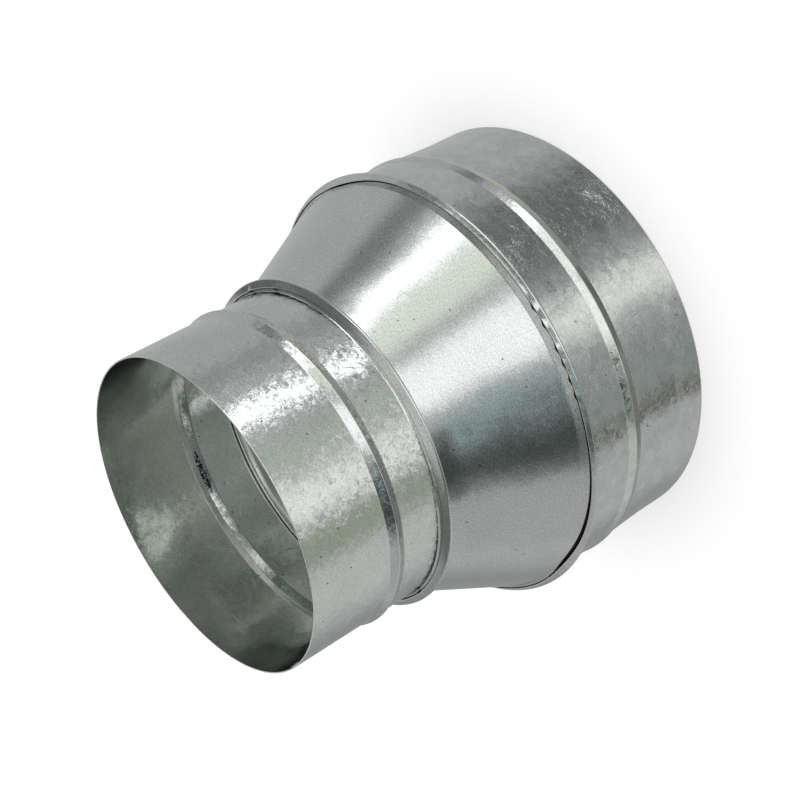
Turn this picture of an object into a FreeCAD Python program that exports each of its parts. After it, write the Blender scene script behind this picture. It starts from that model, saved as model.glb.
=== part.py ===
# Duct reducer in galvanised sheet steel: a small collar, a cone and a large collar,
# each rolled from one sheet and joined end to end by two folded standing seams.
# It stands on its large rim. Z runs up the duct axis from that rim, in millimetres.
import FreeCAD, Part
import Sketcher
import math
import os

doc = FreeCAD.newDocument("duct_reducer")

# Driving dimensions. Heights are measured from the large rim.
SIZES = {
    "sheet_thickness": 0.6,
    "small_collar_diameter": 149.2,
    "small_collar_length": 71.1,
    "small_bead_setback": 44.9,
    "small_bead_rise": 1.5,
    "small_seam_rise": 5,
    "small_seam_lean": 52,
    "small_lip_length": 3.1,
    "neck_length": 2.3,
    "neck_bend_radius": 7,
    "cone_half_angle": 25.2,
    "cone_flare_length": 5.5,
    "spigot_diameter": 199.4,
    "spigot_length": 16,
    "shoulder_step": 2.2,
    "large_seam_height": 73.1,
    "large_seam_rise": 2.7,
    "large_seam_lean": 40,
    "large_lip_length": 2.4,
    "large_bead_setback": 45.2,
    "large_bead_rise": 1.1,
    "bead_width": 8,
    "bead_crest_radius": 0.8,
    "bead_root_radius": 0.6,
    "flare_bend_radius": 3,
    "back_bend_radius": 0.5,
    "seam_gap": 0.1,
    "lap_width": 9,
    "lap_end_margin": 4,
}

# What follows from them. The fold of a seam wraps half a sheet, the gap and one more
# sheet around its middle, where the neighbour's flare ends. The cone's foot is where its
# side would meet the flare without a bend, and the top of its side carries the neck.
DERIVED = {
    "fold_radius": "sheet_thickness * 1.5 + seam_gap",
    "small_fold_radius": "small_collar_diameter / 2 + small_seam_rise - fold_radius",
    "shoulder_radius": "spigot_diameter / 2 + shoulder_step",
    "large_fold_radius": "shoulder_radius + large_seam_rise - fold_radius",
    "flare_tip_radius": "large_fold_radius + sheet_thickness / 2 * cos(large_seam_lean)",
    "flare_tip_height": "large_seam_height + sheet_thickness / 2 * sin(large_seam_lean)",
    "cone_foot_radius": "flare_tip_radius - cone_flare_length * sin(large_seam_lean)",
    "cone_foot_height": "flare_tip_height + cone_flare_length * cos(large_seam_lean)",
    "cone_run": "cone_foot_radius - small_collar_diameter / 2",
    "cone_top_height": "cone_foot_height + cone_run / tan(cone_half_angle)",
    "small_seam_height": "cone_top_height + neck_length",
    "overall_length": "small_seam_height + small_collar_length",
}

dims = doc.addObject("Spreadsheet::Sheet", "dims")
rules = {alias: "=" + rule for alias, rule in DERIVED.items()}
for row, (alias, value) in enumerate({**SIZES, **rules}.items(), start=1):
    dims.set(f"A{row}", alias.replace("_", " "))
    dims.set(f"B{row}", str(value))
    dims.setAlias(f"B{row}", alias)
doc.recompute()


def size(alias):
    """A dimension's value in the spreadsheet, which places the first draft of a sketch."""
    return float(dims.get(alias))


def profile_sketch(name):
    """A sketch in the plane through the duct axis: its X is the radius, its Y the height."""
    sketch = doc.addObject("Sketcher::SketchObject", name)
    upright = FreeCAD.Rotation(FreeCAD.Vector(1, 0, 0), 90)
    sketch.Placement = FreeCAD.Placement(FreeCAD.Vector(0, 0, 0), upright)
    return sketch


class Chain:
    """One face of a bent sheet, drawn as lines and arcs that run smoothly into each other."""

    def __init__(self, sketch, start, heading):
        self.sketch = sketch
        self.point = FreeCAD.Vector(start[0], start[1], 0)
        self.heading = math.radians(heading)
        self.last = None

    def join(self, edge, entry):
        if self.last is not None:
            link = Sketcher.Constraint("Tangent", self.last[0], self.last[1], edge, entry)
            self.sketch.addConstraint(link)

    def line(self, length):
        """A straight stretch; length is only where the solver starts from."""
        way = FreeCAD.Vector(math.cos(self.heading), math.sin(self.heading), 0)
        end = self.point + way * max(length, 0.2)
        edge = self.sketch.addGeometry(Part.LineSegment(self.point, end), False)
        self.join(edge, 1)
        self.point = end
        self.last = (edge, 2)
        return edge

    def bend(self, radius, sweep, radius_rule):
        """An arc that turns by sweep degrees, to the left when positive."""
        turn = math.radians(sweep)
        side = math.copysign(math.pi / 2, turn)
        toward = FreeCAD.Vector(math.cos(self.heading + side), math.sin(self.heading + side), 0)
        centre = self.point + toward * radius
        entry_angle = self.heading - side
        exit_angle = entry_angle + turn
        circle = Part.Circle(centre, FreeCAD.Vector(0, 0, 1), radius)
        low, high = sorted((entry_angle, exit_angle))
        edge = self.sketch.addGeometry(Part.ArcOfCircle(circle, low, high), False)
        entry, leave = (1, 2) if turn > 0 else (2, 1)
        self.join(edge, entry)
        drive(self.sketch, "Radius", (edge, radius), radius_rule)
        self.heading += turn
        spoke = FreeCAD.Vector(math.cos(exit_angle), math.sin(exit_angle), 0)
        self.point = centre + spoke * radius
        self.last = (edge, leave)
        return edge


def drive(sketch, kind, terms, rule):
    """Adds a dimension to a sketch and binds it to the spreadsheet."""
    index = sketch.addConstraint(Sketcher.Constraint(kind, *terms))
    sketch.setExpression(f"Constraints[{index}]", rule)


def place(sketch, point, radius, radius_rule, height, height_rule):
    """Sets a point's distance from the axis and its height."""
    drive(sketch, "DistanceX", (-1, 1, *point, radius), radius_rule)
    drive(sketch, "DistanceY", (-1, 1, *point, height), height_rule)


def half(alias):
    """The rule for a radius, from its diameter's name."""
    return f"dims.{alias} / 2"


def add_bead(chain, wall, rise, crown_height, crown_height_rule):
    """Rolls a ridge into a wall: a root bend, a straight flank, the crest, and back again."""
    sketch = chain.sketch
    height = size(rise)
    half_width = size("bead_width") / 2
    root = size("bead_root_radius")
    crest = size("bead_crest_radius")
    bends = root + crest
    reach = math.hypot(half_width, bends - height)
    slope = math.asin(bends / reach) - math.atan2(bends - height, half_width)
    flank = (half_width - bends * math.sin(slope)) / math.cos(slope)
    sweep = math.degrees(slope)
    first = chain.bend(root, sweep, "dims.bead_root_radius")
    rising = chain.line(flank)
    crown = chain.bend(crest, -2 * sweep, "dims.bead_crest_radius")
    falling = chain.line(flank)
    second = chain.bend(root, sweep, "dims.bead_root_radius")
    sketch.addConstraint(Sketcher.Constraint("Equal", rising, falling))
    drive(sketch, "DistanceY", (-1, 1, crown, 3, crown_height), crown_height_rule)
    drive(sketch, "DistanceY", (second, 3, first, 3, size("bead_width")), "dims.bead_width")
    drive(sketch, "Distance", (crown, 3, wall, height - crest),
          f"dims.{rise} - dims.bead_crest_radius")


def lean_rule(seam):
    """Direction of a seam's flanges in the sketch, which lean back from the small end."""
    return f"(dims.{seam}_seam_lean - 90) * 1 deg"


def fold_middle(seam):
    """Radius and height of the middle of a seam's fold, where the inner flare ends."""
    return size(f"{seam}_fold_radius"), size(f"{seam}_seam_height")


def add_flare(chain, seam, wall_slope):
    """Turns the end of a wall outward and ends it half a sheet in front of the fold's middle."""
    sketch = chain.sketch
    lean = size(f"{seam}_seam_lean")
    half_sheet = size("sheet_thickness") / 2
    radius, height = fold_middle(seam)
    tip_radius = radius + half_sheet * math.cos(math.radians(lean))
    tip_height = height + half_sheet * math.sin(math.radians(lean))
    chain.bend(size("flare_bend_radius"), lean - wall_slope, "dims.flare_bend_radius")
    flare = chain.line((tip_radius - chain.point.x) / math.sin(math.radians(lean)))
    drive(sketch, "Angle", (flare, math.radians(lean - 90)), lean_rule(seam))
    across = f"dims.sheet_thickness / 2 * cos(dims.{seam}_seam_lean)"
    upward = f"dims.sheet_thickness / 2 * sin(dims.{seam}_seam_lean)"
    place(sketch, (flare, 2), tip_radius, f"dims.{seam}_fold_radius + {across}",
          tip_height, f"dims.{seam}_seam_height + {upward}")


def start_fold(sketch, seam, wall_radius, wall_slope):
    """Draws the lip, the fold over the neighbour's flare, the back flange and its bend."""
    lean = size(f"{seam}_seam_lean")
    radius, height = fold_middle(seam)
    outward = math.radians(lean - 90)
    along = FreeCAD.Vector(math.cos(outward), math.sin(outward), 0)
    front = FreeCAD.Vector(-along.y, along.x, 0)
    middle = FreeCAD.Vector(radius, height, 0)
    lip_length = size(f"{seam}_lip_length")
    start = middle + front * size("fold_radius") - along * lip_length
    chain = Chain(sketch, (start.x, start.y), lean - 90)
    lip = chain.line(lip_length)
    drive(sketch, "Angle", (lip, outward), lean_rule(seam))
    drive(sketch, "Distance", (lip, lip_length), f"dims.{seam}_lip_length")
    fold = chain.bend(size("fold_radius"), -180, "dims.fold_radius")
    place(sketch, (fold, 3), radius, f"dims.{seam}_fold_radius",
          height, f"dims.{seam}_seam_height")
    drop = chain.point.x - wall_radius
    back = chain.line(drop / math.sin(math.radians(lean)) - size("back_bend_radius"))
    sketch.addConstraint(Sketcher.Constraint("Parallel", lip, back))
    chain.bend(size("back_bend_radius"), 180 - lean + wall_slope, "dims.back_bend_radius")
    return chain


def roll_sheet(sketch):
    """Gives the drawn face its sheet thickness, inward, and turns it about the duct axis."""
    band = doc.addObject("Part::Offset2D", sketch.Name + "_band")
    band.Source = sketch
    band.Mode = "Skin"
    band.Join = "Intersection"
    band.Fill = True
    band.setExpression("Value", "-dims.sheet_thickness")
    shell = doc.addObject("Part::Revolution", sketch.Name + "_shell")
    shell.Source = band
    shell.Axis = FreeCAD.Vector(0, 0, 1)
    shell.Angle = 360
    shell.Solid = True
    return shell


def add_lap(sketch, shell, label, diameter, low_rule, high_rule):
    """Doubles the sheet on the inside along the length, where its two edges overlap.

    The finished piece is turned half round, which puts its lap on the minus X side.
    """
    layer = doc.addObject("Part::Offset2D", label + "_lap_band")
    layer.Source = sketch
    layer.Mode = "Skin"
    layer.Join = "Intersection"
    layer.Fill = True
    layer.setExpression("Value", "-2 * dims.sheet_thickness")
    strip = doc.addObject("Part::Revolution", label + "_lap_strip")
    strip.Source = layer
    strip.Axis = FreeCAD.Vector(0, 0, 1)
    strip.Solid = True
    strip.Symmetric = True
    strip.setExpression("Angle", f"dims.lap_width / (dims.{diameter} / 2) * 180 / pi")
    reach = doc.addObject("Part::Cylinder", label + "_lap_reach")
    reach.setExpression("Radius", "dims.spigot_diameter")
    reach.setExpression("Height", f"({high_rule}) - ({low_rule})")
    reach.setExpression("Placement.Base.z", low_rule)
    lap = doc.addObject("Part::Common", label + "_lap")
    lap.Base = strip
    lap.Tool = reach
    piece = doc.addObject("Part::Fuse", label)
    piece.Base = shell
    piece.Tool = lap
    piece.Label = label
    half_turn = FreeCAD.Rotation(FreeCAD.Vector(0, 0, 1), 180)
    piece.Placement = FreeCAD.Placement(FreeCAD.Vector(0, 0, 0), half_turn)
    return piece


def small_collar():
    """Straight collar with its plain mouth on top, one bead and a flare at its lower end."""
    sketch = profile_sketch("small_collar_face")
    radius = size("small_collar_diameter") / 2
    mouth = size("overall_length")
    chain = Chain(sketch, (radius, mouth), -90)
    wall = chain.line(size("small_bead_setback") - size("bead_width") / 2)
    place(sketch, (wall, 1), radius, half("small_collar_diameter"),
          mouth, "dims.overall_length")
    sketch.addConstraint(Sketcher.Constraint("Vertical", wall))
    add_bead(chain, wall, "small_bead_rise", mouth - size("small_bead_setback"),
             "dims.overall_length - dims.small_bead_setback")
    flare_drop = size("small_seam_rise") / math.tan(math.radians(size("small_seam_lean")))
    lower = chain.line(chain.point.y - size("small_seam_height") - flare_drop)
    sketch.addConstraint(Sketcher.Constraint("Tangent", wall, lower))
    add_flare(chain, "small", 0)
    doc.recompute()
    shell = roll_sheet(sketch)
    return add_lap(sketch, shell, "small_collar", "small_collar_diameter",
                   "dims.small_seam_height + dims.lap_end_margin", "dims.overall_length")


def cone():
    """Cone with a short neck folded over the small collar's flare and a flare at its foot."""
    sketch = profile_sketch("cone_face")
    neck_radius = size("small_collar_diameter") / 2
    slope = size("cone_half_angle")
    chain = start_fold(sketch, "small", neck_radius, 0)
    bend_reach = size("neck_bend_radius") * math.tan(math.radians(slope / 2))
    neck_end = size("cone_top_height") + bend_reach
    neck = chain.line(chain.point.y - neck_end)
    sketch.addConstraint(Sketcher.Constraint("Vertical", neck))
    place(sketch, (neck, 2), neck_radius, half("small_collar_diameter"), neck_end,
          "dims.cone_top_height + dims.neck_bend_radius * tan(dims.cone_half_angle / 2)")
    chain.bend(size("neck_bend_radius"), slope, "dims.neck_bend_radius")
    side = chain.line(size("cone_run") / math.sin(math.radians(slope)) - bend_reach)
    drive(sketch, "Angle", (side, math.radians(slope - 90)), "(dims.cone_half_angle - 90) * 1 deg")
    add_flare(chain, "large", slope)
    doc.recompute()
    shell = roll_sheet(sketch)
    return add_lap(sketch, shell, "cone", "small_collar_diameter",
                   "dims.large_seam_height + 2 * dims.lap_end_margin", "dims.cone_top_height")


def large_collar():
    """Collar folded over the cone's flare, tapering past a bead to a straight spigot."""
    sketch = profile_sketch("large_collar_face")
    shoulder = size("shoulder_radius")
    spigot = size("spigot_diameter") / 2
    straight = size("spigot_length")
    drop = size("large_seam_height") - straight
    taper = math.degrees(math.atan2(shoulder - spigot, drop))
    chain = start_fold(sketch, "large", shoulder, -taper)
    wall = chain.line(chain.point.y - size("large_bead_setback") - size("bead_width") / 2)
    drive(sketch, "DistanceX", (-1, 1, wall, 1, shoulder), "dims.shoulder_radius")
    add_bead(chain, wall, "large_bead_rise", size("large_bead_setback"),
             "dims.large_bead_setback")
    lower = chain.line(chain.point.y - straight)
    sketch.addConstraint(Sketcher.Constraint("Tangent", wall, lower))
    place(sketch, (lower, 2), spigot, half("spigot_diameter"),
          straight, "dims.spigot_length")
    edge = sketch.addGeometry(Part.LineSegment(
        FreeCAD.Vector(spigot, straight, 0), FreeCAD.Vector(spigot, 0, 0)), False)
    sketch.addConstraint(Sketcher.Constraint("Coincident", lower, 2, edge, 1))
    sketch.addConstraint(Sketcher.Constraint("Vertical", edge))
    sketch.addConstraint(Sketcher.Constraint("PointOnObject", edge, 2, -1))
    doc.recompute()
    shell = roll_sheet(sketch)
    return add_lap(sketch, shell, "large_collar", "spigot_diameter",
                   "0", "dims.large_seam_height - 2 * dims.lap_end_margin")


pieces = [small_collar(), cone(), large_collar()]
doc.recompute()

for item in doc.Objects:
    if "Invalid" in item.State or "Error" in item.State:
        raise RuntimeError(f"{item.Label} did not build: {item.State}")
for piece in pieces:
    if piece.Shape.isNull() or not piece.Shape.isValid():
        raise RuntimeError(f"{piece.Label} has no valid shape")

os.makedirs("parts", exist_ok=True)
for piece in pieces:
    piece.Shape.exportStep(f"parts/{piece.Label}.step")
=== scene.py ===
import bpy
import math
import numpy as np
from mathutils import Matrix, Vector


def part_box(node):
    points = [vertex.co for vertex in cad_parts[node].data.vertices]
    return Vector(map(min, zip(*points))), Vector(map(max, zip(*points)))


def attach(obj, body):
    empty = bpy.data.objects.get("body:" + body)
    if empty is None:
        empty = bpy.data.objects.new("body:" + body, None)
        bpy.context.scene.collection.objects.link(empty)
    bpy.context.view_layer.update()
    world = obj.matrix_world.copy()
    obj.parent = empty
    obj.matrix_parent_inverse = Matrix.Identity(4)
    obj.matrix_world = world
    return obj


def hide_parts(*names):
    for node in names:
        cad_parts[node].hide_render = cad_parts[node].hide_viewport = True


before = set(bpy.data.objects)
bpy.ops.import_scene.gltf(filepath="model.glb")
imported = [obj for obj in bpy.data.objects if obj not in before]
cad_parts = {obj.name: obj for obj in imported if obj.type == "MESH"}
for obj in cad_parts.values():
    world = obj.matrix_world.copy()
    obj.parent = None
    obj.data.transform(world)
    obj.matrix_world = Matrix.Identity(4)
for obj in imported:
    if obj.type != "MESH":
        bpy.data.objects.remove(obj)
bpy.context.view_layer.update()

# Small collar: a strip of galvanised sheet rolled into a tube and lapped on the inside.
# It has a plain cut mouth and one rolled bead, and its lower end is flared outward,
# where the cone's edge is folded over it.

sheet = 0.0006
seam_gap = 0.0001
fold_radius = 1.5 * sheet + seam_gap
half_sheet = sheet / 2
columns = 720
wall_step = 0.009
end_step = 0.00035
arc_step = 12
smallest_step = 1e-6
cut_step = 30
rounded_cut = 1.0
sheared_cut = 0.3
travel_over_cut = 0.4
lip_curl = 1.5
sharp_angle = 35
lap_azimuth = math.pi
lap_width = 0.009
lap_rise = 0.0006
bead_width = 0.008
bead_root = 0.0006
bead_crest = 0.0008
flare_bend = 0.0014

mouth_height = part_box("small_collar")[1].z
neck_radius = 0.0746
small_bead_height = mouth_height - 0.0449
small_bead_rise = 0.0015
small_lean = math.radians(62)
small_fold = np.array((0.0786, mouth_height - 0.0711))
small_lip_length = 0.0031
small_lap_clearance = 0.004
past_the_end = 0.001


def rounded_line(corners, step):
    """Points and normals along a bent line in the plane of radius and height.

    A corner is (radius, height, bend radius). Each bend is an arc that touches both legs,
    cut every arc_step degrees. Straight stretches are cut into steps no longer than step, with
    a short one at each end, which keeps them flat beside a bend. The normal is the direction of
    travel turned a quarter to the left.
    """
    spots = np.array([corner[:2] for corner in corners])
    legs = np.diff(spots, axis=0)
    ways = legs / np.linalg.norm(legs, axis=1)[:, None]
    points, normals = [], []
    start = spots[0]
    for index, way in enumerate(ways):
        left = np.array((-way[1], way[0]))
        last = index == len(ways) - 1
        turn = 0.0
        if not last:
            ahead = ways[index + 1]
            turn = math.atan2(way[0] * ahead[1] - way[1] * ahead[0], way @ ahead)
        bend = corners[index + 1][2]
        end = spots[index + 1] - way * bend * math.tan(abs(turn) / 2)
        length = (end - start) @ way
        if length > smallest_step:
            count = max(1, math.ceil(length / step))
            along = np.linspace(0, length, count + 1)
            if length > 3 * end_step:
                along = np.concatenate((along[:1], (end_step,), along[1:-1],
                                        (length - end_step,), along[-1:]))
            points.append(start + along[:, None] * way)
            normals.append(np.repeat(left[None], len(along), axis=0))
        if not last:
            side = math.copysign(1.0, turn)
            centre = end + left * side * bend
            count = max(2, math.ceil(abs(math.degrees(turn)) / arc_step))
            sweep = np.linspace(0, turn, count + 1)[1:, None]
            spoke = -side * left
            turned = np.cos(sweep) * spoke + np.sin(sweep) * np.array((-spoke[1], spoke[0]))
            points.append(centre + bend * turned)
            normals.append(-side * turned)
            start = centre + bend * turned[-1]
    points, normals = np.concatenate(points), np.concatenate(normals)
    apart = np.linalg.norm(np.diff(points, axis=0), axis=1) > smallest_step
    kept = np.concatenate(([True], apart))
    return points[kept], normals[kept]


def bead_corners(foot, way, rise):
    """The three corners of a rolled bead whose middle is at foot on a wall running along way.

    Two straight flanks meet the wall in root bends and each other in the crest. Their slope is
    the one at which both bends and a flank together climb the rise in half the bead's width.
    """
    out = np.array((-way[1], way[0]))
    half_width = bead_width / 2
    bends = bead_root + bead_crest
    slope = (math.asin(bends / math.hypot(half_width, bends - rise))
             - math.atan2(bends - rise, half_width))
    flank = (half_width - bends * math.sin(slope)) / math.cos(slope)
    leg = bead_root * math.tan(slope / 2) + flank + bead_crest * math.tan(slope)
    shift = way * leg * math.cos(slope)
    crown = foot + out * leg * math.sin(slope)
    return [(*(foot - shift), bead_root), (*crown, bead_crest), (*(foot + shift), bead_root)]


def rolled_sheet(name, corners, lip=0.0, lip_shape=None, crevice=None, lap=(0.0, 0.0),
                 flat_cone=None):
    """A sheet of even thickness turned about the duct axis, as one closed skin.

    The section runs along the drawn face, round the cut edge, back along the other face and
    round the first cut edge. A lip's edge is a half circle, and a sheared edge bulges by 0.3 of
    that. A point at azimuth a is (r cos a, r sin a, z). Points within lip of the line's start
    follow lip_shape(a): they move along their normal by its first value and along the line by
    its second, more towards the edge. The attribute "crevice" is crevice(a) less the distance
    from the line's end. Between the two heights of lap the inner face is doubled over the lap's
    width. The map "sheet" is the blank laid flat, in metres: a strip, or a sector when
    flat_cone gives the sine of the cone's half angle and the line's start measured from the
    apex.
    """
    face, normal = rounded_line(corners, wall_step)
    travel = np.concatenate(([0], np.cumsum(np.linalg.norm(np.diff(face, axis=0), axis=1))))
    way = np.stack((normal[:, 1], -normal[:, 0]), axis=1)
    cut = np.radians(np.arange(cut_step / 2, 180, cut_step))[:, None]
    turns = len(cut)
    head_burr = half_sheet * (rounded_cut if lip else sheared_cut)
    tail_burr = half_sheet * sheared_cut
    tail_edge = (face[-1] - normal[-1] * half_sheet * (1 - np.cos(cut))
                 + way[-1] * tail_burr * (np.sin(cut) - 1))
    head_edge = (face[0] - normal[0] * half_sheet * (1 + np.cos(cut))
                 - way[0] * head_burr * (np.sin(cut) - 1))
    loop = np.concatenate((face, tail_edge, (face - normal * sheet)[::-1], head_edge))
    loop[[len(face) - 1, len(face) + turns]] -= way[-1] * tail_burr
    loop[[0, -turns - 1]] += way[0] * head_burr
    loop_normal, loop_way = (
        np.concatenate((side, np.repeat(side[-1:], turns, 0), side[::-1],
                        np.repeat(side[:1], turns, 0))) for side in (normal, way))
    over_edge = sheet * travel_over_cut * np.sin(cut.ravel())
    loop_travel = np.concatenate((travel, travel[-1] + over_edge, travel[::-1], -over_edge))
    flat_part, round_part = np.zeros(len(face)), np.ones(turns)
    edge = np.concatenate((flat_part, round_part, flat_part, round_part))
    inner = np.concatenate((flat_part, 0 * round_part, flat_part + 1, 0 * round_part))

    even = np.linspace(-math.pi, math.pi, columns, endpoint=False)
    half_lap = lap_width / 2 / neck_radius
    steps = np.array((-1, 1))[:, None] * (half_lap + np.array((-lap_rise, lap_rise)))
    azimuth = np.sort(np.concatenate((even, (steps.ravel() + lap_azimuth + math.pi)
                                      % (2 * math.pi) - math.pi)))
    radius = np.tile(loop[:, 0], (len(azimuth), 1))
    height = np.tile(loop[:, 1], (len(azimuth), 1))
    if lip_shape is not None:
        share = np.clip(1 - loop_travel / lip, 0, 1)
        off, back = lip_shape(azimuth)
        off, back = off[:, None] * share ** lip_curl, back[:, None] * share
        radius += off * loop_normal[:, 0] + back * loop_way[:, 0]
        height += off * loop_normal[:, 1] + back * loop_way[:, 1]
    from_lap = np.abs((azimuth - lap_azimuth + math.pi) % (2 * math.pi) - math.pi)
    doubled = (from_lap < half_lap)[:, None] & (inner > 0) & (height > lap[0]) & (height < lap[1])
    radius -= doubled * sheet
    skin = np.stack((radius * np.cos(azimuth)[:, None], radius * np.sin(azimuth)[:, None],
                     height), axis=-1)

    rows, across = skin.shape[:2]
    row, column = np.meshgrid(np.arange(rows), np.arange(across), indexing="ij")
    next_row, next_column = (row + 1) % rows, (column + 1) % across
    quads = np.stack((row * across + column, row * across + next_column,
                      next_row * across + next_column, next_row * across + column), axis=-1)
    mesh = bpy.data.meshes.new(name)
    mesh.from_pydata(skin.reshape(-1, 3), [], quads.reshape(-1, 4))
    mesh.shade_smooth()
    mesh.set_sharp_from_angle(angle=math.radians(sharp_angle))

    turned = np.concatenate((azimuth, [azimuth[0] + 2 * math.pi]))[:, None]
    if flat_cone is None:
        flat = np.stack(np.broadcast_arrays(turned * loop[:, 0].mean(), loop_travel), axis=-1)
    else:
        spread, from_apex = flat_cone
        ray = from_apex + loop_travel
        flat = np.stack((ray * np.sin(turned * spread), ray * np.cos(turned * spread)), axis=-1)
    corner_places = np.stack((flat[row, column], flat[row, next_column],
                              flat[row + 1, next_column], flat[row + 1, column]), axis=2)
    layer = mesh.uv_layers.new(name="sheet")
    layer.data.foreach_set("uv", corner_places.astype(np.float32).ravel())
    # The crevice mark tells the material where to paint shade inside a seam, from the sheet's tip
    # to just past the lip.
    gap = np.full((rows, 1), -1.0) if crevice is None else crevice(azimuth)[:, None]
    marks = {"cut_edge": edge, "inner_face": inner,
             "crevice": gap - (travel[-1] - loop_travel) - inner}
    for label, values in marks.items():
        mark = mesh.attributes.new(label, "FLOAT", "POINT")
        spread_out = np.broadcast_to(values, (rows, across))
        mark.data.foreach_set("value", spread_out.astype(np.float32).ravel())
    piece = bpy.data.objects.new(name, mesh)
    bpy.context.scene.collection.objects.link(piece)
    return piece


down = np.array((0.0, -1.0))
small_tip = small_fold + half_sheet * np.array((math.cos(small_lean), math.sin(small_lean)))
small_corner_height = small_tip[1] + (small_tip[0] - neck_radius) / math.tan(small_lean)
small_puckers = (-17, -32, -180)
# Widths of the painted shade past the cone's lip, and the extra at each pucker.
small_shade_width = 0.0003
small_pucker_shade = 0.0004


def hump(azimuth, middle, half_width, power=2):
    """Smooth hump round a middle in degrees, 1 there and falling to 0 on both sides.

    It is e to the power of minus the distance in half widths, itself raised to a power: 2
    gives a bell, and more gives a flat top.
    """
    away = (np.degrees(azimuth) - middle + 180) % 360 - 180
    return np.exp(-(np.abs(away) / half_width) ** power)


def small_crevice(azimuth):
    """Width of the painted shade on the collar's flare, from its tip to just past the cone's lip.
    """
    puckers = sum(hump(azimuth, middle, 1.2) for middle in small_puckers)
    return small_lip_length + small_shade_width + small_pucker_shade * puckers


small_collar = rolled_sheet(
    "small_collar_sheet",
    [(neck_radius, mouth_height, 0),
     *bead_corners(np.array((neck_radius, small_bead_height)), down, small_bead_rise),
     (neck_radius, small_corner_height, flare_bend),
     (*small_tip, 0)],
    crevice=small_crevice,
    lap=(small_fold[1] + small_lap_clearance, mouth_height + past_the_end))


def add_node(tree, kind, sockets=None, **settings):
    """A node with its settings, and each socket given a number, a colour or another output."""
    node = tree.nodes.new(kind)
    for setting, value in settings.items():
        setattr(node, setting, value)
    for socket, value in (sockets or {}).items():
        if isinstance(value, bpy.types.NodeSocket):
            tree.links.new(value, node.inputs[socket])
        else:
            node.inputs[socket].default_value = value
    return node


def compute(tree, operation, *values):
    """Output of a Math node."""
    return add_node(tree, "ShaderNodeMath", dict(enumerate(values)),
                    operation=operation).outputs[0]


def compute_vector(tree, operation, *values):
    """Output of a Vector Math node."""
    return add_node(tree, "ShaderNodeVectorMath", dict(enumerate(values)),
                    operation=operation).outputs[0]


def ease(tree, value, start, end):
    """Smooth rise from 0 to 1 while value goes from start to end."""
    return add_node(tree, "ShaderNodeMapRange",
                    {"Value": value, "From Min": start, "From Max": end},
                    interpolation_type="SMOOTHSTEP").outputs[0]


def blend_colours(tree, share, first, second):
    """First colour where share is 0, second where it is 1."""
    return add_node(tree, "ShaderNodeMix", {"Factor": share, 6: first, 7: second},
                    data_type="RGBA").outputs[2]


def open_group(name, inputs, outputs):
    """An empty shader group with its sockets, each given as a name and a kind."""
    group = bpy.data.node_groups.new(name, "ShaderNodeTree")
    for side, sockets in (("INPUT", inputs), ("OUTPUT", outputs)):
        for label, kind in sockets.items():
            group.interface.new_socket(label, in_out=side, socket_type="NodeSocket" + kind)
    given = group.nodes.new("NodeGroupInput").outputs
    result = group.nodes.new("NodeGroupOutput").inputs
    return group, given, result


crystal_edge_scale = 260
crystal_edge_bend = 0.005
small_crystal_share = 2.7
small_crystal_shade = 0.6
middle_shade = 1.3
frond_stretch = (1700, 320, 0)
frond_relief = 3e-4
cloud_scale = 45
cloud_contrast = 0.12
grain_stretch = (2300, 1000, 0)
dimple_scale = 330
ripple_scale = 34
roughness_swing = 0.05
speck_scale = 150
speck_raggedness = 0.16
speck_outside = 0.17
speck_inside = 0.12
speck_crowd_scale = 28
speck_crowding = 0.5
speck_rarity = 1.21


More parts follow.
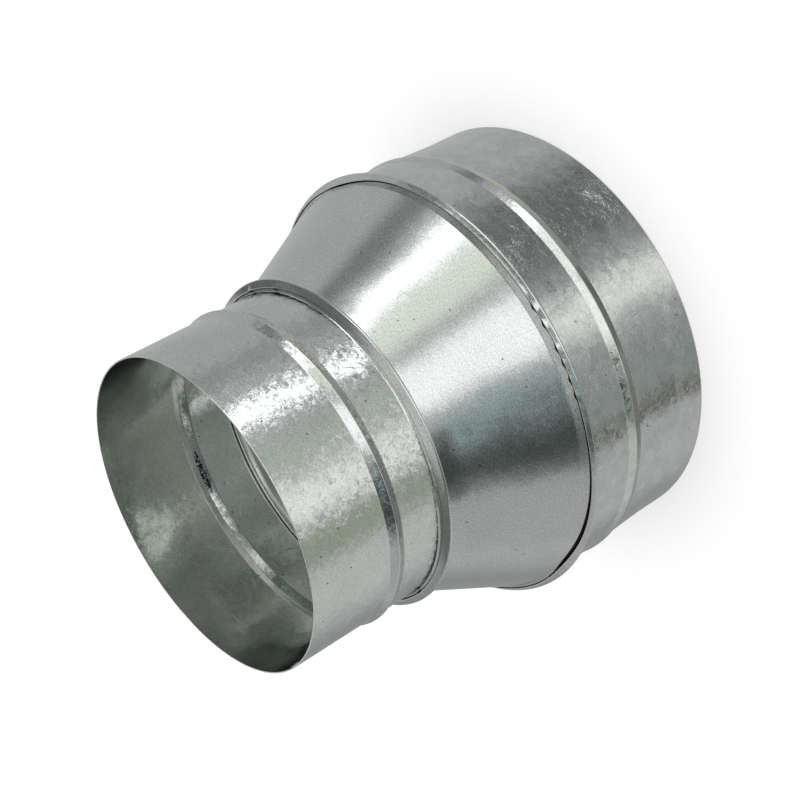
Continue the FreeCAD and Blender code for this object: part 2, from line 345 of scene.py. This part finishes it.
def zinc_surface_group():
    """Crystals, grain, ripples and specks of a hot-dipped zinc coat on a sheet laid flat.

    Crystals are the cells nearest to scattered points, small ones over large ones. Each leans
    its own way by up to Crystal Lean and is a little lighter or darker, with fine fronds that
    run its own way. Grain is noise of half a millimetre, drawn out along the sheet's second
    axis, and ripples are slow noise. Lean is a normal map's colour, and heights are metres.
    """
    group, given, result = open_group(
        "zinc_surface",
        {"Sheet": "Vector", "Crystal Size": "Float", "Crystal Lean": "Float",
         "Crystal Contrast": "Float", "Grain Height": "Float", "Grain Contrast": "Float",
         "Dimple Height": "Float", "Ripple Height": "Float"},
        {"Shade": "Float", "Roughness": "Float", "Lean": "Color", "Height": "Float",
         "Speck": "Float"})
    place = given["Sheet"]

    def flat_noise(spot, scale, detail):
        return add_node(group, "ShaderNodeTexNoise",
                        {"Vector": spot, "Scale": scale, "Detail": detail},
                        noise_dimensions="2D").outputs

    def cells(spot, scale):
        return add_node(group, "ShaderNodeTexVoronoi", {"Vector": spot, "Scale": scale},
                        voronoi_dimensions="2D").outputs

    def about_zero(value, size):
        return compute(group, "MULTIPLY", compute(group, "SUBTRACT", value, 0.5), size)

    bend = flat_noise(place, crystal_edge_scale, 2)["Color"]
    bend = compute_vector(group, "SUBTRACT", bend, (0.5, 0.5, 0.5))
    bent = compute_vector(group, "MULTIPLY_ADD", bend, (crystal_edge_bend, crystal_edge_bend, 0),
                          place)
    large = cells(bent, compute(group, "DIVIDE", 1, given["Crystal Size"]))
    small = cells(bent, compute(group, "DIVIDE", small_crystal_share, given["Crystal Size"]))
    leans = compute_vector(group, "ADD", large["Color"], small["Color"])
    leans = compute_vector(group, "SUBTRACT", leans, (1, 1, 1))
    leans = compute_vector(group, "MULTIPLY", leans, (0.5, 0.5, 0))
    amount = add_node(group, "ShaderNodeCombineXYZ",
                      {0: given["Crystal Lean"], 1: given["Crystal Lean"]}).outputs[0]
    leans = compute_vector(group, "MULTIPLY_ADD", leans, amount, (0.5, 0.5, 1.0))
    group.links.new(leans, result["Lean"])

    own = add_node(group, "ShaderNodeSeparateColor", {0: large["Color"]}).outputs
    own_small = add_node(group, "ShaderNodeSeparateColor", {0: small["Color"]}).outputs
    angle = compute(group, "MULTIPLY", own["Red"], 2 * math.pi)
    rotated = add_node(group, "ShaderNodeVectorRotate", {"Vector": bent, "Angle": angle},
                       rotation_type="Z_AXIS").outputs[0]
    frond = flat_noise(compute_vector(group, "MULTIPLY", rotated, frond_stretch), 1, 2)[0]
    shade = compute(group, "ADD", own["Blue"], frond)
    shade = compute(group, "MULTIPLY_ADD", own_small["Blue"], small_crystal_shade, shade)
    shade = compute(group, "SUBTRACT", shade, middle_shade)
    shade = compute(group, "MULTIPLY_ADD", shade, given["Crystal Contrast"], 1)
    cloud = about_zero(flat_noise(place, cloud_scale, 3)[0], cloud_contrast)
    shade = compute(group, "ADD", shade, cloud)
    grain = flat_noise(compute_vector(group, "MULTIPLY", place, grain_stretch), 1, 2)[0]
    from_even = compute(group, "SUBTRACT", grain, 0.5)
    shade = compute(group, "MULTIPLY_ADD", from_even, given["Grain Contrast"], shade)
    group.links.new(shade, result["Shade"])

    relief = compute(group, "MULTIPLY", given["Crystal Contrast"], frond_relief)
    height = compute(group, "MULTIPLY", frond, relief)
    height = compute(group, "MULTIPLY_ADD", grain, given["Grain Height"], height)
    height = compute(group, "MULTIPLY_ADD", flat_noise(place, dimple_scale, 2)[0],
                     given["Dimple Height"], height)
    height = compute(group, "MULTIPLY_ADD", flat_noise(place, ripple_scale, 0)[0],
                     given["Ripple Height"], height)
    group.links.new(height, result["Height"])

    rough = about_zero(compute(group, "ADD", own_small["Green"], grain), roughness_swing)
    group.links.new(rough, result["Roughness"])

    spots = cells(place, speck_scale)
    near = compute(group, "MULTIPLY_ADD", grain, speck_raggedness, spots["Distance"])
    chance = add_node(group, "ShaderNodeSeparateColor", {0: spots["Color"]}).outputs["Red"]
    crowd = flat_noise(place, speck_crowd_scale, 1)[0]
    chance = compute(group, "MULTIPLY_ADD", crowd, speck_crowding, chance)
    rare = compute(group, "GREATER_THAN", chance, speck_rarity)
    speck = ease(group, near, speck_outside, speck_inside)
    group.links.new(compute(group, "MULTIPLY", speck, rare), result["Speck"])
    return group


zinc_surface = zinc_surface_group()
zinc_colour = (0.60, 0.62, 0.61)
inner_colour = (0.60, 0.63, 0.61)
inner_roughness = 0.13
cut_colour = (0.74, 0.73, 0.70, 1)
speck_colour = (0.20, 0.21, 0.20, 1)
# Painted shade: near black for the flare inside each seam beside a folded lip.
crevice_shade_colour = (0.02, 0.02, 0.02, 1)
cut_roughness = 0.34
crevice_shade_roughness = 0.6
crevice_shade_blur = 0.00012
inner_ripple = 0.0018
inner_lean = 0.5


def zinc_coat(name, roughness, ripple_height, crystal_lean, **coat):
    """Bare zinc-coated steel, with flatter crystals and deeper ripples on the inner face.

    Cut edges are brighter and duller, and the flare beside each folded lip is painted near black
    as shade inside the seam.
    """
    material = bpy.data.materials.new(name)
    material.use_nodes = True
    tree = material.node_tree
    shader = tree.nodes["Principled BSDF"]
    shader.inputs["Metallic"].default_value = 1.0
    flat = add_node(tree, "ShaderNodeUVMap", uv_map="sheet").outputs[0]
    values = {label.replace("_", " ").title(): value for label, value in coat.items()}
    inner = add_node(tree, "ShaderNodeAttribute", attribute_name="inner_face").outputs["Fac"]
    ripple = compute(tree, "MULTIPLY_ADD", inner, inner_ripple - ripple_height, ripple_height)
    lean = compute(tree, "MULTIPLY_ADD", inner, (inner_lean - 1) * crystal_lean, crystal_lean)
    surface = add_node(tree, "ShaderNodeGroup",
                       {"Sheet": flat, "Ripple Height": ripple, "Crystal Lean": lean, **values},
                       node_tree=zinc_surface).outputs
    cut = add_node(tree, "ShaderNodeAttribute", attribute_name="cut_edge").outputs["Fac"]
    metal = blend_colours(tree, inner, (*zinc_colour, 1), (*inner_colour, 1))
    metal = compute_vector(tree, "MULTIPLY", metal, surface["Shade"])
    metal = blend_colours(tree, surface["Speck"], metal, speck_colour)
    metal = blend_colours(tree, cut, metal, cut_colour)
    # Painted shade: where the crevice mark is above zero, the flare is coloured near black and
    # made duller. This stands in for the shade inside the seam's gap.
    crevice = add_node(tree, "ShaderNodeAttribute", attribute_name="crevice").outputs["Fac"]
    crevice_shade = ease(tree, crevice, -crevice_shade_blur, crevice_shade_blur)
    metal = blend_colours(tree, crevice_shade, metal, crevice_shade_colour)
    tree.links.new(metal, shader.inputs["Base Color"])
    dull = compute(tree, "MULTIPLY_ADD", inner, inner_roughness - roughness, roughness)
    dull = compute(tree, "ADD", dull, surface["Roughness"])
    dull = compute(tree, "MAXIMUM", dull, compute(tree, "MULTIPLY", cut, cut_roughness))
    dull = compute(tree, "MAXIMUM", dull, compute(tree, "MULTIPLY", crevice_shade, crevice_shade_roughness))
    tree.links.new(dull, shader.inputs["Roughness"])
    leaning = add_node(tree, "ShaderNodeNormalMap", {"Color": surface["Lean"]},
                       uv_map="sheet").outputs[0]
    bump = add_node(tree, "ShaderNodeBump",
                    {"Distance": 1.0, "Height": surface["Height"], "Normal": leaning})
    tree.links.new(bump.outputs[0], shader.inputs["Normal"])
    return material


stain_middle = (0.0894, 0.0466, 0.0)
stain_half_length = 0.0118
stain_half_width = 0.0017
stain_colour = (0.03, 0.03, 0.03, 1)
stain_noise_scale = 900.0
stain_gap, stain_blot = 0.42, 0.50
stain_outside, stain_inside = 1.1, 0.8


def stain_groove(material):
    """Black marks in the bead's inside groove, an oval on the flat sheet broken up by noise."""
    tree = material.node_tree
    colour = tree.nodes["Principled BSDF"].inputs["Base Color"]
    flat = add_node(tree, "ShaderNodeUVMap", uv_map="sheet").outputs[0]
    inner = add_node(tree, "ShaderNodeAttribute", attribute_name="inner_face").outputs["Fac"]
    away = compute_vector(tree, "SUBTRACT", flat, stain_middle)
    away = compute_vector(tree, "MULTIPLY", away,
                          (1 / stain_half_length, 1 / stain_half_width, 0))
    distance = add_node(tree, "ShaderNodeVectorMath", {0: away},
                        operation="LENGTH").outputs["Value"]
    noise = add_node(tree, "ShaderNodeTexNoise",
                     {"Vector": flat, "Scale": stain_noise_scale, "Detail": 2.0},
                     noise_dimensions="2D").outputs[0]
    blots = compute(tree, "MULTIPLY", ease(tree, noise, stain_gap, stain_blot), inner)
    stain = compute(tree, "MULTIPLY", ease(tree, distance, stain_outside, stain_inside), blots)
    metal = blend_colours(tree, stain, colour.links[0].from_socket, stain_colour)
    tree.links.new(metal, colour)


small_coat = zinc_coat(
    "zinc_small_collar", 0.13, ripple_height=1.5e-4, crystal_size=0.0022, crystal_lean=0.065,
    crystal_contrast=0.06, grain_height=1.6e-5, grain_contrast=0.7, dimple_height=1e-5)
stain_groove(small_coat)
small_collar.data.materials.append(small_coat)
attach(small_collar, "root")
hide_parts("small_collar")


# Cone: a ring sector of the same sheet rolled into a cone. Its short neck is folded back
# over the small collar's flare, and its foot is flared for the large collar's fold.

cone_slope = math.radians(25.2)
# The neck's bend turns a little less than the slope, and a long bend below it makes up the
# rest. Both corners are heights above the point where the neck's and the side's lines cross.
neck_bend = 0.008
neck_corner = 0.0014
ease_corner = -0.0072
ease_bend = 0.08
large_lean = math.radians(40)
large_fold = np.array((0.1036, 0.0731))
large_lip_length = 0.0024
cone_flare_length = 0.0055
back_bend = 0.0005
cone_line_before_neck = 0.0135
cone_lap_clearance = 0.008


def fold_corners(middle, lean, lip_length, wall_foot):
    """Corners of a lip, the fold round a seam's middle and the back flange to the wall.

    The fold is a half turn, drawn as two quarter bends a fold's width apart.
    """
    along = np.array((math.sin(lean), -math.cos(lean)))
    front = np.array((math.cos(lean), math.sin(lean)))
    start = middle + front * fold_radius - along * lip_length
    outer = middle + along * fold_radius
    back_foot = middle - front * fold_radius
    drop = (back_foot[0] - wall_foot) / along[0]
    root = back_foot - along * drop
    return [(*start, 0), (*(outer + front * fold_radius), fold_radius),
            (*(outer - front * fold_radius), fold_radius), (*root, back_bend)]


def small_lip_shape(azimuth):
    """How far the cone's lip stands off the collar's flare, and is drawn back along it.

    It wanders in slow waves, with a few short puckers from closing the fold.
    """
    waves = 0.00007 + 0.00004 * np.sin(9 * azimuth + 0.7) + 0.00002 * np.sin(31 * azimuth)
    puckers = sum(hump(azimuth, middle, 1.1) for middle in small_puckers)
    return waves + 0.00045 * puckers, 0.0001 * np.sin(5 * azimuth)


# The large collar's lip was left standing open along two stretches, with a row of short
# puckers leading into the first. The cone's flare is painted near black there as shade.
large_puckers = (-93.5, -98.3, -104.5, -108.3, -112.5, -116.5)
large_nicks = (-176.8, -179.2)
# Widths of the painted shade past the collar's lip, and the extra at the gaps and puckers.
large_shade_width = 0.0002
large_gap_shade = 0.0011
large_pucker_shade = 0.0007


def large_gap(azimuth):
    """0 where the large collar's lip is closed, rising to 1 where its longer gap is widest."""
    return hump(azimuth, -147, 29, 12) * (0.25 + 0.75 * hump(azimuth, -163, 18))


def large_reach(azimuth):
    """How much further than its drawn length the large collar's lip reaches up the flare."""
    return (0.0018 * hump(azimuth, -20, 14) + 0.0016 * hump(azimuth, -172, 11)
            - 0.0006 * hump(azimuth, -125, 33, 4))


def large_crevice(azimuth):
    """Width of the painted shade on the cone's flare, from its tip to past the collar's lip."""
    puckers = sum(hump(azimuth, middle, 1.0) for middle in large_puckers)
    return (large_lip_length + large_reach(azimuth) + large_shade_width
            + large_gap_shade * large_gap(azimuth) + large_pucker_shade * puckers)


large_tip = large_fold + half_sheet * np.array((math.cos(large_lean), math.sin(large_lean)))
cone_foot = large_tip - cone_flare_length * np.array((math.sin(large_lean),
                                                      -math.cos(large_lean)))
cone_top = cone_foot[1] + (cone_foot[0] - neck_radius) / math.tan(cone_slope)
cone_spread = math.sin(cone_slope)
cone_line_start = neck_radius / cone_spread - cone_line_before_neck
cone = rolled_sheet(
    "cone_sheet",
    [*fold_corners(small_fold, small_lean, small_lip_length, neck_radius),
     (neck_radius, cone_top + neck_corner, neck_bend),
     (neck_radius - ease_corner * math.tan(cone_slope), cone_top + ease_corner, ease_bend),
     (*cone_foot, flare_bend),
     (*large_tip, 0)],
    lip=small_lip_length, lip_shape=small_lip_shape, crevice=large_crevice,
    lap=(large_fold[1] + cone_lap_clearance, cone_top), flat_cone=(cone_spread, cone_line_start))
cone.data.materials.append(zinc_coat(
    "zinc_cone", 0.15, ripple_height=4e-4, crystal_size=0.003, crystal_lean=0.014,
    crystal_contrast=0.02, grain_height=2.1e-5, grain_contrast=0.9, dimple_height=1.2e-5))
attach(cone, "root")
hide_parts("cone")


# Large collar: a wider strip rolled into a tube, folded over the cone's flare at its top.
# Below the fold its wall tapers past one low bead to a short straight spigot.

shoulder_radius = 0.1019
spigot_radius = 0.0997
spigot_length = 0.016
spigot_bend = 0.02
large_bead_height = 0.0452
large_bead_rise = 0.0011
taper_below_fold = 0.0009
large_lap_clearance = 0.008


def large_lip_shape(azimuth):
    """How far the large collar's lip stands off the cone's flare, and is drawn back along it.

    It stands open along two stretches, and a little at the puckers and nicks.
    """
    waves = 0.00006 + 0.00003 * np.sin(7 * azimuth)
    puckers = sum(hump(azimuth, middle, 1.0) for middle in large_puckers)
    nicks = sum(hump(azimuth, middle, 0.6) for middle in large_nicks)
    open_stretches = large_gap(azimuth) + hump(azimuth, -30.5, 14.5, 8)
    stand_off = waves + 0.0005 * (puckers + open_stretches) + 0.0004 * nicks
    return stand_off, 0.0002 * large_gap(azimuth) - large_reach(azimuth)


taper_top = large_fold[1] - taper_below_fold
taper = np.array((spigot_radius - shoulder_radius, spigot_length - taper_top))
taper_way = taper / np.linalg.norm(taper)
bead_share = (taper_top - large_bead_height) / (taper_top - spigot_length)
bead_foot = np.array((shoulder_radius, taper_top)) + taper * bead_share
large_collar = rolled_sheet(
    "large_collar_sheet",
    [*fold_corners(large_fold, large_lean, large_lip_length, shoulder_radius),
     *bead_corners(bead_foot, taper_way, large_bead_rise),
     (spigot_radius, spigot_length, spigot_bend),
     (spigot_radius, 0.0, 0)],
    lip=large_lip_length, lip_shape=large_lip_shape,
    lap=(-past_the_end, large_fold[1] - large_lap_clearance))
large_collar.data.materials.append(zinc_coat(
    "zinc_large_collar", 0.12, ripple_height=1.5e-4, crystal_size=0.0052, crystal_lean=0.036,
    crystal_contrast=0.12, grain_height=1.4e-5, grain_contrast=0.45, dimple_height=1.2e-5))
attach(large_collar, "root")
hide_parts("large_collar")


# Floor: a plain white sheet under the large rim. Its colour fades to full white where
# the camera looks at it, and the part's shadow stays on it.

floor_size = 4.0
floor_drop = 0.0003
floor_glow = 0.26
bpy.ops.mesh.primitive_grid_add(x_subdivisions=2, y_subdivisions=2, size=floor_size,
                                location=(0, 0, -floor_drop))
floor = bpy.context.object
floor.name = "floor"
floor.visible_glossy = False
paper = bpy.data.materials.new("white_paper")
paper.use_nodes = True
tree = paper.node_tree
tree.nodes.remove(tree.nodes["Principled BSDF"])
diffuse = add_node(tree, "ShaderNodeBsdfDiffuse", {"Color": (0.9, 0.9, 0.9, 1)})
path = add_node(tree, "ShaderNodeLightPath")
strength = compute(tree, "MULTIPLY", path.outputs["Is Camera Ray"], floor_glow)
glow = add_node(tree, "ShaderNodeEmission", {"Strength": strength})
both = add_node(tree, "ShaderNodeAddShader", {0: diffuse.outputs[0], 1: glow.outputs[0]})
tree.links.new(both.outputs[0], tree.nodes["Material Output"].inputs["Surface"])
floor.data.materials.append(paper)

# Studio: soft surroundings that the bare metal mirrors, as upright panels round the part.
# A panel is (azimuth, lean, half width, softness, lowest, highest, brightness, tint), with
# angles in degrees, and a later panel covers an earlier one.

studio_panels = {
    "grey_card_rear": (108, 0.0, 24, 0.6, -50, 34, 0.34, (0.97, 1.0, 1.0)),
    "grey_card_right_rear": (34, 0.0, 40, 0.6, -50, 12, 0.53, (0.97, 1.0, 1.0)),
    "dark_card_rear_high": (48, 0.0, 34, 0.4, 5, 30, 0.16, (0.95, 1.0, 1.0)),
    "dark_card_right_high": (0, 0.0, 20, 0.4, 15, 30, 0.17, (0.95, 1.0, 1.0)),
    "softbox_low": (-102, 0.0, 12, 0.6, -50, -34, 1.15, (1.0, 0.99, 0.97)),
    "blue_card": (-130, 0.0, 20, 0.3, 15, 34, 0.50, (0.70, 1.0, 1.03)),
    "softbox_left": (-124, 0.65, 15, 0.6, -34, 0, 1.2, (1.0, 1.0, 0.95)),
    "softbox_high": (-94, 0.0, 17, 0.3, 2, 32, 1.45, (1.0, 1.0, 1.0)),
    "softbox_middle": (-86, 0.0, 34, 0.2, -16, 2, 1.4, (1.0, 1.0, 0.98)),
    "green_softbox_high": (-65, 0.2, 13, 0.4, 2, 28, 1.10, (0.93, 1.0, 0.87)),
    "green_card": (-89, 0.0, 10, 0.6, -34, -16, 0.62, (0.89, 1.0, 0.87)),
    "strip_light": (-56.5, 0.5, 8.5, 0.5, -34, 20, 2.3, (0.98, 0.99, 1.01)),
    "dark_card_right": (-12, 0.0, 9, 0.6, -22, 24, 0.26, (0.93, 1.0, 0.99)),
    "grey_card_right_low": (-18, 0.0, 10, 0.6, -34, -22, 0.40, (0.96, 1.0, 1.0)),
    "dark_card_low": (-50, 0.0, 33, 0.6, -50, -35, 0.19, (0.90, 1.0, 1.0)),
    "dark_card_left_high": (-156, 0.0, 15, 0.6, 12, 34, 0.12, (0.80, 1.0, 0.95)),
    "dark_card_left": (-142, 0.0, 21, 0.2, -12, 13, 0.06, (0.80, 1.0, 0.95)),
    "dark_card_left_edge": (-165, 0.0, 8, 0.5, -2, 9, 0.12, (0.9, 1.0, 0.95)),
    "green_card_left": (-153, 0.0, 11, 0.6, -34, -12, 0.46, (0.84, 1.0, 0.74)),
    "grey_card_left_low": (-148, 0.0, 26, 0.6, -50, -35, 0.36, (0.93, 1.0, 0.97)),
    "dark_strip_low": (-171, 0.0, 5, 0.5, -50, -37.5, 0.10, (1.0, 0.9, 0.75)),
    "white_card": (-190, 0.0, 24, 0.08, -10, 24, 0.51, (1.0, 1.0, 1.0)),
    "white_card_foot": (-190, 0.0, 24, 0.3, -34, -10, 0.70, (0.99, 1.0, 0.96)),
    "overhead_softbox": (-98, 0.0, 66, 0.4, 40, 92, 0.75, (1.0, 1.0, 0.98)),
    "rear_softbox": (82, 0.0, 34, 0.3, 24, 78, 0.8, (1.0, 1.0, 1.0)),
    "grey_card_below_left": (165, 0.0, 40, 0.5, -70, -50, 0.24, (1.0, 1.0, 0.96)),
    "softbox_below": (60, 0.0, 30, 0.5, -92, -74, 1.7, (1.0, 0.98, 0.92)),
    "dark_card_below": (-60, 0.0, 60, 0.4, -92, -76, 0.10, (0.7, 1.0, 0.98)),
    "dark_card_below_front": (-118, 0.0, 50, 0.3, -78, -61, 0.20, (0.95, 1.0, 0.95)),
}

# Away from the table's level the surroundings change in steps. A step is the two elevations
# between which it comes in, and its colour.
table_level = (0.56, 0.56, 0.56, 1)
level_steps = {
    "overhead": (24, 36, (0.17, 0.18, 0.17, 1)),
    "zenith": (54, 78, (0.70, 0.70, 0.68, 1)),
    "low": (-48, -54, (0.60, 0.56, 0.50, 1)),
    "below": (-60, -66, (0.36, 0.39, 0.36, 1)),
}
white = (1, 1, 1, 1)
panel_reach = 0.9
panel_edge = 2
lean_from = -30


def soft_panel_group():
    """Share of a soft upright panel in a direction, from its azimuth and elevation.

    The share falls smoothly from 1 to 0 across the panel's soft edge on every side. At the
    sides the edge is Softness half widths either way of nine tenths of the half width, and at
    the top and bottom it is 2 degrees either way. The middle moves by Lean degrees for each
    degree of elevation above -30.
    """
    group, given, result = open_group(
        "soft_panel",
        dict.fromkeys(("Azimuth", "Elevation", "Middle", "Lean", "Half Width", "Softness",
                       "Lowest", "Highest"), "Float"),
        {"Share": "Float"})
    above = compute(group, "ADD", given["Elevation"], -lean_from)
    leaning = compute(group, "MULTIPLY_ADD", above, given["Lean"], given["Middle"])
    away = compute(group, "SUBTRACT", given["Azimuth"], leaning)
    away = compute(group, "ABSOLUTE", compute(group, "WRAP", away, 180, -180))
    soft_width = compute(group, "MULTIPLY", given["Half Width"], given["Softness"])
    inside = compute(group, "MULTIPLY_ADD", given["Half Width"], panel_reach,
                     compute(group, "MULTIPLY", soft_width, -1))
    outside = compute(group, "MULTIPLY_ADD", given["Half Width"], panel_reach, soft_width)
    share = ease(group, away, outside, inside)
    for edge, soft in (("Lowest", panel_edge), ("Highest", -panel_edge)):
        outer = compute(group, "SUBTRACT", given[edge], soft)
        within = compute(group, "ADD", given[edge], soft)
        share = compute(group, "MULTIPLY", share, ease(group, given["Elevation"], outer, within))
    group.links.new(share, result["Share"])
    return group


world = bpy.data.worlds.new("studio")
bpy.context.scene.world = world
world.use_nodes = True
tree = world.node_tree
soft_panel = soft_panel_group()
where = add_node(tree, "ShaderNodeTexCoord").outputs["Generated"]
ray = add_node(tree, "ShaderNodeSeparateXYZ", {0: where}).outputs
azimuth = compute(tree, "DEGREES", compute(tree, "ARCTAN2", ray["Y"], ray["X"]))
elevation = compute(tree, "DEGREES", compute(tree, "ARCSINE", ray["Z"]))
seen = table_level
for start, end, colour in level_steps.values():
    seen = blend_colours(tree, ease(tree, elevation, start, end), seen, colour)
for name, (middle, lean, width, soft, low, high, brightness, tint) in studio_panels.items():
    panel = add_node(tree, "ShaderNodeGroup",
                     {"Azimuth": azimuth, "Elevation": elevation, "Middle": middle,
                      "Lean": lean, "Half Width": width, "Softness": soft, "Lowest": low,
                      "Highest": high}, node_tree=soft_panel, label=name)
    seen = blend_colours(tree, panel.outputs["Share"], seen,
                         (*(brightness * part for part in tint), 1))
path = add_node(tree, "ShaderNodeLightPath")
light = blend_colours(tree, path.outputs["Is Glossy Ray"], white, seen)
tree.links.new(light, tree.nodes["Background"].inputs["Color"])

# Camera: in front of the part and above it, turned so that the standing part appears to lie
# on its side as in the photograph.

view_azimuth = math.radians(-8.0)
view_elevation = math.radians(31.782)
view_roll = math.radians(-119.442)
view_distance = 0.8536
view_target = Vector((0.0018, -0.0002, 0.0902))
sensor_width = 36
lens_length = 84.53

outward = Vector((math.sin(view_azimuth) * math.cos(view_elevation),
                  -math.cos(view_azimuth) * math.cos(view_elevation),
                  math.sin(view_elevation)))
camera_data = bpy.data.cameras.new("camera")
camera_data.sensor_width = sensor_width
camera_data.lens = lens_length
camera = bpy.data.objects.new("camera", camera_data)
bpy.context.scene.collection.objects.link(camera)
level = outward.to_track_quat("Z", "Y").to_matrix()
camera.matrix_world = (Matrix.Translation(view_target + outward * view_distance)
                       @ (level @ Matrix.Rotation(view_roll, 3, "Z")).to_4x4())
bpy.context.scene.camera = camera
bpy.context.scene.view_settings.view_transform = "Standard"
